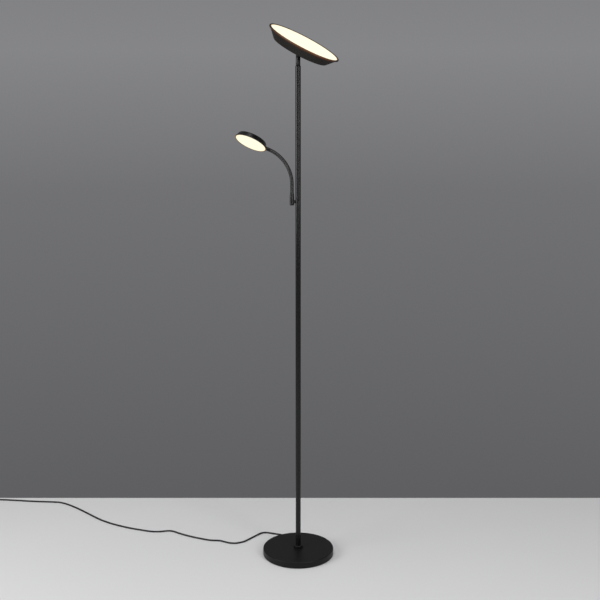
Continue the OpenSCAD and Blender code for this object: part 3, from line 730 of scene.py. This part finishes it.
def tie_rows(angle, width, thickness):
    """A strap round the bundle of three turns: the outline at one distance from three circles,
    carried along the bundle's own way."""
    gap = CORD_R + 0.06
    low = CORD_R + COIL_LIFT
    high = low + COIL_LAYER
    centres = np.array([[COIL_INNER, low], [COIL_OUTER, low], [COIL_TOP, high]])
    around = [(centres[0], np.linspace(np.radians(150), np.radians(270), 9)),
              (centres[1], np.linspace(np.radians(-90), np.radians(30), 9)),
              (centres[2], np.linspace(np.radians(30), np.radians(150), 9))]
    inner = np.concatenate([c + gap * np.stack([np.cos(a), np.sin(a)], -1) for c, a in around])
    outer = np.concatenate([c + (gap + thickness) * np.stack([np.cos(a), np.sin(a)], -1)
                            for c, a in around])
    edge = np.linspace(-width / 2, width / 2, 5)
    side = np.radians(angle) + edge / COIL_TOP
    loops = [(outer, side[k]) for k in range(5)] + [(inner, side[k]) for k in range(4, -1, -1)]
    rows = [np.stack([COIL_AT[0] + loop[:, 0] * math.cos(a), COIL_AT[1] + loop[:, 0] * math.sin(a),
                      loop[:, 1]], -1) for loop, a in loops]
    return np.stack(rows)


tie = piece("cord_tie", [shell(tie_rows(125, 7, 0.6)[::-1], True)], rubber,
            "stand", crease=50)


# ---------- base ----------

def cover_parts():
    """A pressed shell turned round the axis. Near the cord's exit the lower edge rises over the
    neck of the strain relief: lift = height of a round-topped notch at that distance."""
    section = rounded([(BASE_R - COVER_T, PAD_T, 0.3), (BASE_R, PAD_T, 0.5), (BASE_R, BASE_H, BASE_EDGE),
                       (ROD_HOLE_R, BASE_H, 0.2), (ROD_HOLE_R, BASE_H - COVER_T, 0.2),
                       (BASE_R - COVER_T, BASE_H - COVER_T, 2.0)], 8)
    middle = math.radians(EXIT_HEADING)
    notch, side = 3.75, EXIT_Z - PAD_T
    near = np.linspace(-1, 1, 25) * notch / BASE_R
    near = np.concatenate([[-1.02 * notch / BASE_R], near, [1.02 * notch / BASE_R]])
    wide = np.linspace(near[-1], 2 * np.pi + near[0], 190)[1:-1]
    angle = middle + np.concatenate([near, wide])
    off = np.concatenate([near, wide]) * BASE_R
    lift = np.where(np.abs(off) <= notch * 1.0001,
                    side + np.sqrt(np.clip(notch ** 2 - off ** 2, 0, None)), 0)
    lift[-len(wide):] = 0
    r, z = section[:, :1], section[:, 1:]
    top = BASE_H - BASE_EDGE - 1
    on_wall = (z < top) & (r > BASE_R - 5)
    share = np.where(on_wall, (top - z) / (top - PAD_T), 0)
    height = z + lift[None] * share
    rows = np.stack([r * np.cos(angle), r * np.sin(angle), height], -1)
    return [shell(rows, True)]


piece("base_cover_shell", cover_parts(), powder_coat, "stand",
                   ["base_cover"])
piece("foot_collar_ring", [turned(rounded([
    (POLE_R + 0.15, BASE_H, 0.2), (COLLAR_R, BASE_H, 0.25), (COLLAR_R, BASE_H + COLLAR_H, 2.0),
    (POLE_R + 0.15, BASE_H + COLLAR_H, 0.3)]), 72)], powder_coat, "stand",
    ["foot_collar"])


# ---------- pole ----------

def pole_section(low, high):
    return turned(rounded([(POLE_BORE_R, low, 0.15), (POLE_R, low, 0.35), (POLE_R, high, 0.35),
                           (POLE_BORE_R, high, 0.15)], 4), 64)


for name, low, high in zip(("lower", "middle", "upper"), POLE_JOINTS, POLE_JOINTS[1:]):
    piece("pole_%s_tube" % name, [pole_section(low, high)], satin_paint,
          "stand", ["pole_" + name])

eased_copy("neck", satin_paint, "stand", 0.5)
eased_copy("tilt_bolt", black_oxide, "stand", 0.2)
eased_copy("tilt_nut", black_oxide, "stand", 0.2)


# ---------- uplight ----------

head_frame = (Matrix.Translation((0, 0, PIVOT_Z)) @ turn(TILT_HEADING, "Z") @ turn(TILT, "Y"))
glow_centre = tuple(moved(head_frame, np.array([[0, 0, BOWL_TOP + DIFFUSER_T]]))[0] * MM)
lit_uplight = make_lit_diffuser("lit_uplight", glow_centre, 0.1165, 0.1202, 0.99)

head_axis = tuple(head_frame.to_3x3() @ Vector((0, 0, 1)))
level = head_axis[2] * PIVOT_Z
# the bowl and rim paint carries a painted glow of rim light in its emission
bowl_paint_with_painted_glow = make_bowl_paint_with_painted_glow(head_axis, (level + RIM_TOP - 13) * MM, (level + RIM_TOP + 0.5) * MM)

slope = (BOWL_R - BOWL_FOOT_R) / (BOWL_TOP - BOWL_LOW)


def wall_r(z, inset):
    """Radius of the conical wall, moved in by inset: foot + slope (z - low) - inset sqrt(1 + slope^2)."""
    return BOWL_FOOT_R + slope * (z - BOWL_LOW) - inset * math.sqrt(1 + slope ** 2)


inner_low = BOWL_LOW + BOWL_WALL
bowl_section = rounded([
    (0, BOWL_LOW, 0), (wall_r(BOWL_LOW, 0), BOWL_LOW, BOWL_CORNER), (BOWL_R, BOWL_TOP, 0.15),
    (wall_r(BOWL_TOP, BOWL_WALL), BOWL_TOP, 0.15),
    (wall_r(inner_low, BOWL_WALL), inner_low, BOWL_CORNER - BOWL_WALL), (0, inner_low, 0)], 12)
piece("uplight_bowl", [turned(bowl_section, 160)], bowl_paint_with_painted_glow, "uplight_head",
      ["head_bowl"], head_frame)
piece("uplight_rim", [turned(rounded([
    (BOWL_R + 0.15, RIM_LOW, 0.3), (HEAD_R, RIM_LOW, 0.5), (HEAD_R, RIM_TOP, 1.3),
    (RIM_LIP_R, RIM_TOP, 0.7), (RIM_LIP_R, RIM_TOP - RIM_LIP_T, 0.3),
    (BOWL_R + 0.15, RIM_TOP - RIM_LIP_T, 0.3)], 6), 160)], bowl_paint_with_painted_glow,
    "uplight_head", ["head_rim"], head_frame)
piece("uplight_diffuser", [turned(rounded([
    (0, BOWL_TOP, 0), (BOWL_R - 0.2, BOWL_TOP, 0.4), (BOWL_R - 0.2, BOWL_TOP + DIFFUSER_T, 0.4),
    (0, BOWL_TOP + DIFFUSER_T, 0)], 4), 128)], lit_uplight, "uplight_head",
    ["head_diffuser"], head_frame)
eased_copy("tilt_bracket", satin_paint, "uplight_head", 0.4)
eased_copy("bracket_screws", black_oxide, "uplight_head", 0.25)


# ---------- reading arm ----------

arm_frame = Matrix.Translation((ARM_X, 0, 0))
piece("arm_socket_cup", [turned(rounded([
    (0, SOCKET_LOW, 0), (SOCKET_R, SOCKET_LOW, 1.2), (SOCKET_R, SOCKET_HIGH, 0.3),
    (0, SOCKET_HIGH, 0)]), 64)], satin_paint, "stand", ["arm_socket"],
    arm_frame)
piece("arm_sleeve_cone", [turned(rounded([
    (SLEEVE_BORE_R, SOCKET_HIGH, 0.2), (SOCKET_R, SOCKET_HIGH, 0.3),
    (SLEEVE_TOP_R, SOCKET_HIGH + SLEEVE_H, 0.6),
    (SLEEVE_BORE_R, SOCKET_HIGH + SLEEVE_H, 0.1)]), 64)],
    satin_paint, "stand", ["arm_sleeve"], arm_frame)


def spacer_parts():
    """A round bar along X that is cut to fit the pole at one end and the socket at the other:
    x runs between -sqrt(pole^2 - y^2) and the socket's
    ARM_X + sqrt(socket^2 - y^2)."""
    angle = circle(48)
    y, z = SPACER_R * np.cos(angle), SPACER_R * np.sin(angle)
    pole_x = -np.sqrt((POLE_R - 0.05) ** 2 - y ** 2)
    socket_x = ARM_X + np.sqrt((SOCKET_R - 0.05) ** 2 - y ** 2)
    t = np.linspace(0, 1, 6)[:, None]
    x = pole_x * t + socket_x * (1 - t)
    rows = np.stack([x, y + 0 * x, STUB_Z + z + 0 * x], -1)
    return [shell(rows, False, (ARM_X + SOCKET_R - 0.1, 0, STUB_Z), (-POLE_R + 0.1, 0, STUB_Z))]


piece("arm_spacer_bar", spacer_parts(), satin_paint, "stand",
      ["arm_spacer"])


def flex_line(s):
    """The gooseneck's centre line at lengths s from its first pivot, and its way: straight up
    for the rise, and then round an arc towards -X."""
    s = np.asarray(s, float)
    a = np.clip(s - FLEX_RISE, 0, None) / FLEX_BEND
    point = np.stack([ARM_X - FLEX_BEND * (1 - np.cos(a)), 0 * a,
                      FLEX_Z + np.minimum(s, FLEX_RISE) + FLEX_BEND * np.sin(a)], -1)
    way = np.stack([-np.sin(a), 0 * a, np.cos(a)], -1)
    return point, way


RIB_PITCH, RIB_DEPTH = 2.746, 0.42


def flex_parts(start, end):
    """A length of wound wire hose. Its radius falls from each crest into a groove as a power of
    a sine that climbs like a thread: phase = length / pitch - turn."""
    s = np.linspace(start, end, max(4, int(round((end - start) / RIB_PITCH * 12)) + 1))
    point, way = flex_line(s)
    across = np.stack([way[:, 2], 0 * s, -way[:, 0]], -1)
    up = np.cross(way, across)
    angle = np.arange(40) / 40
    phase = s[:, None] / RIB_PITCH - angle[None]
    crest = np.abs(np.cos(np.pi * phase)) ** 0.7
    rows = carried(point, across, up, FLEX_R - RIB_DEPTH * (1 - crest))
    return shell(rows, False, point[0], point[-1]), np.append(crest.ravel(), [0.5, 0.5])


def flex_piece(name, start, end, stands_for):
    part, crest = flex_parts(start, end)
    made = piece(name, [part], gooseneck_paint, None, stands_for, crease=75)
    worn = made.data.attributes.new("crest", "FLOAT", "POINT")
    worn.data.foreach_set("value", crest.astype(np.float32))
    return made


bodies = ["stand"] + ["arm_link_%02d" % (k + 1) for k in range(LINKS)]
hidden = ["gooseneck_root"] + ["gooseneck_link_%02d" % (k + 1) for k in range(LINKS)]
STIFF = 4  # the joint that has a ball between two stiff lengths of hose
HOSE_TRIM, BALL_R = 0.65, 5.6


def stiff_joint(k, start, end):
    """Two stiff lengths of hose, each cut back from the joint between them, and a ball there."""
    name = "gooseneck_hose_%02d" % (k + 1)
    joint = end - PITCH / 2
    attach(flex_piece(name, start, joint - HOSE_TRIM, [hidden[k]]), bodies[k])
    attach(flex_piece(name + "_upper", joint + HOSE_TRIM, end, []), bodies[k + 1])
    arc = np.linspace(0, np.pi, 17)
    ball = np.stack([np.sin(arc), -np.cos(arc)], -1) * BALL_R
    ball[[0, -1], 0] = 0
    piece("gooseneck_ball", [turned(ball, 40)], gooseneck_paint, bodies[k],
          matrix=Matrix.Translation(flex_line(k * PITCH)[0]))


for k in range(LINKS):
    start = (k - 0.5) * PITCH if k else SOCKET_HIGH + SLEEVE_H - FLEX_Z
    end = (k + 0.5) * PITCH
    if k == STIFF:
        stiff_joint(k, start, end)
        continue
    hose = flex_piece("gooseneck_hose_%02d" % (k + 1), start, end, [hidden[k]])
    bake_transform(hose)
hose_end = flex_piece("gooseneck_hose_end", (LINKS - 0.5) * PITCH, LINKS * PITCH, [hidden[LINKS]])
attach(hose_end, bodies[LINKS])


# ---------- reading head ----------

arm_end = flex_line(LINKS * PITCH)[0]
stem_frame = Matrix.Translation(arm_end) @ turn(90 - FLEX_TURN, "Y") @ turn(180, "Z")
reader_frame = stem_frame @ turn(READER_ROLL, "X")
along_stem = turn(90, "Y")
reader_centre = reader_frame @ Matrix.Translation((READER_X, 0, 0))
lit_centre = tuple(moved(reader_centre, np.array([[0, 0, READER_FACE]]))[0] * MM)
lit_reader = make_lit_diffuser("lit_reader", lit_centre, 0.0505, 0.0534, 0.97)

piece("reading_stem_ferrule", [turned(rounded([
    (0, 0, 0), (FLEX_R + 0.1, 0, 0.4), (FLEX_R + 0.1, 1.6, 0.2), (FLEX_R - 0.35, 1.8, 0.1),
    (FLEX_R - 0.35, 2.6, 0.1), (FLEX_R, 2.8, 0.2), (FLEX_R, STEM_LEN, 0.6),
    (0, STEM_LEN, 0)], 4), 48)], satin_paint, bodies[LINKS],
    ["reading_stem"], stem_frame @ along_stem)

lean = (READER_R - READER_BACK_R) / (READER_TOP - READER_LIP)
thick = READER_WALL * math.sqrt(1 + lean ** 2)
housing_section = rounded([
    (0, READER_TOP - READER_WALL, 0),
    (READER_BACK_R + lean * READER_WALL - thick, READER_TOP - READER_WALL, READER_EDGE - READER_WALL),
    (READER_R - READER_WALL, READER_LIP - 0.4, 1.5), (READER_R - READER_WALL, READER_LOW, 0.3),
    (READER_R, READER_LOW, 0.45), (READER_R, READER_LIP, 3.0),
    (READER_BACK_R, READER_TOP, READER_EDGE), (0, READER_TOP, 0)], 10)


def boss_parts():
    """The round boss that the stem turns in: a bar along X with a rounded mouth, flat below
    where it meets the diffuser."""
    mouth, mouth_round, flat_from, flat_z = 12.3, 0.8, 13.2, -4.6
    x = np.array([11.5, 11.55, 11.7, 11.95, mouth, 13.0, 13.4, 15, 17, 19, 20.5, 21.5, BOSS_END])
    into = (mouth - x).clip(0, mouth_round)
    radius = BOSS_R - mouth_round + np.sqrt(np.clip(mouth_round ** 2 - into ** 2, 0, None))
    angle = circle(48)
    y, z = radius[:, None] * np.cos(angle), radius[:, None] * np.sin(angle)
    z = np.where(x[:, None] > flat_from, np.maximum(z, flat_z), z)
    rows = np.stack([x[:, None] + 0 * y, y, z], -1)
    return [shell(rows, False, (x[0], 0, 0), (x[-1], 0, 0))]


housing_points, housing_faces = turned(housing_section, 128)
piece("reading_head_housing", [(housing_points + [READER_X, 0, 0], housing_faces)] + boss_parts(),
      satin_paint, "reading_head", ["reading_housing"], reader_frame)
piece("reading_head_diffuser", [turned(rounded([
    (0, READER_FACE, 0), (READER_R - READER_WALL - 0.1, READER_FACE, 0.3),
    (READER_R - READER_WALL - 0.1, READER_FACE + READER_DIFFUSER_T, 0.3),
    (0, READER_FACE + READER_DIFFUSER_T, 0)], 4), 128)],
    lit_reader, "reading_head", ["reading_diffuser"], reader_centre)


# ---------- carried-over pieces ----------

FINISH_OF = {
    "base_pad": make_foam(), "base_weight": make_cast_iron(),
    "base_washer": make_zinc_steel(), "led_driver": make_driver_case(),
    "heat_plate": make_bare_aluminium(), "led_board": make_lamp_board(),
    "supply_lead": make_lead_white(), "friction_washers": rubber,
}
SAME_AS = {
    "base_washer": ["base_nut", "threaded_rod", "cord_clamp", "clamp_screws", "pole_foot_insert",
                    "pole_joiners", "pole_top_insert", "arm_nipple", "arm_nut",
                    "stem_clip"],
    "led_board": ["reading_board"], "supply_lead": ["arm_lead"],
}
for node, finish in FINISH_OF.items():
    for name in [node] + SAME_AS.get(node, []):
        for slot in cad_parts[name].material_slots:
            slot.material = finish


# ---------- studio ----------

def make_floor():
    """Pale seamless floor with a very faint cloudy variation."""
    f = Finish("studio_floor")
    cloud = f.noise(1.2, 2.0)
    colour = f.blend(cloud, (0.73, 0.73, 0.735, 1), (0.77, 0.77, 0.775, 1))
    return f.shade(Base_Color=colour, Roughness=0.55 + cloud * 0.05)


FLOOR_BACK = 0.5045
floor_mesh = bpy.data.meshes.new("studio_floor")
floor_mesh.from_pydata([(-9, -9, 0), (9, -9, 0), (9, FLOOR_BACK, 0), (-9, FLOOR_BACK, 0)], [],
                       [(0, 1, 2, 3)])
floor_mesh.materials.append(make_floor())
floor = bpy.data.objects.new("studio_floor", floor_mesh)
bpy.context.scene.collection.objects.link(floor)
floor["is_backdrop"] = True

world = bpy.data.worlds.new("studio")
bpy.context.scene.world = world
sky = Finish("studio", world)
height = sky.parts(sky.node("ShaderNodeTexCoord", out="Generated"))[2]
wall = sky.node("ShaderNodeValToRGB", {"stops": [
    (0.0, grey(0.10)), (0.30, (0.110, 0.110, 0.115, 1)), (0.44, (0.165, 0.166, 0.172, 1)),
    (0.50, (0.235, 0.236, 0.246, 1)), (0.58, (0.190, 0.190, 0.196, 1)), (1.0, grey(0.28))]},
    {"Fac": height * 0.5 + 0.5})
backdrop = sky.node("ShaderNodeBackground", None, {"Color": wall, "Strength": 1.0})
sky.finish(backdrop, "ShaderNodeOutputWorld")


def softbox(name, place, aim, size, power):
    """A soft square light that looks at a point."""
    light = bpy.data.lights.new(name, "AREA")
    light.shape = "RECTANGLE"
    light.size, light.size_y = size
    light.energy = power
    lamp = bpy.data.objects.new(name, light)
    bpy.context.scene.collection.objects.link(lamp)
    lamp.location = place
    lamp.rotation_euler = (Vector(aim) - Vector(place)).to_track_quat("-Z", "Y").to_euler()
    lamp.visible_camera = False


softbox("panel_left", (-2.3, -1.3, 1.55), (0, 0, 1.55), (1.3, 1.5), 40)
softbox("panel_right", (1.6, -2.0, 1.55), (0, 0, 1.55), (0.6, 1.5), 24)
softbox("top", (0, -1.3, 4.2), (0, 0, 0), (3.0, 3.0), 66)

bpy.context.scene.view_settings.view_transform = "Standard"

low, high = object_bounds()
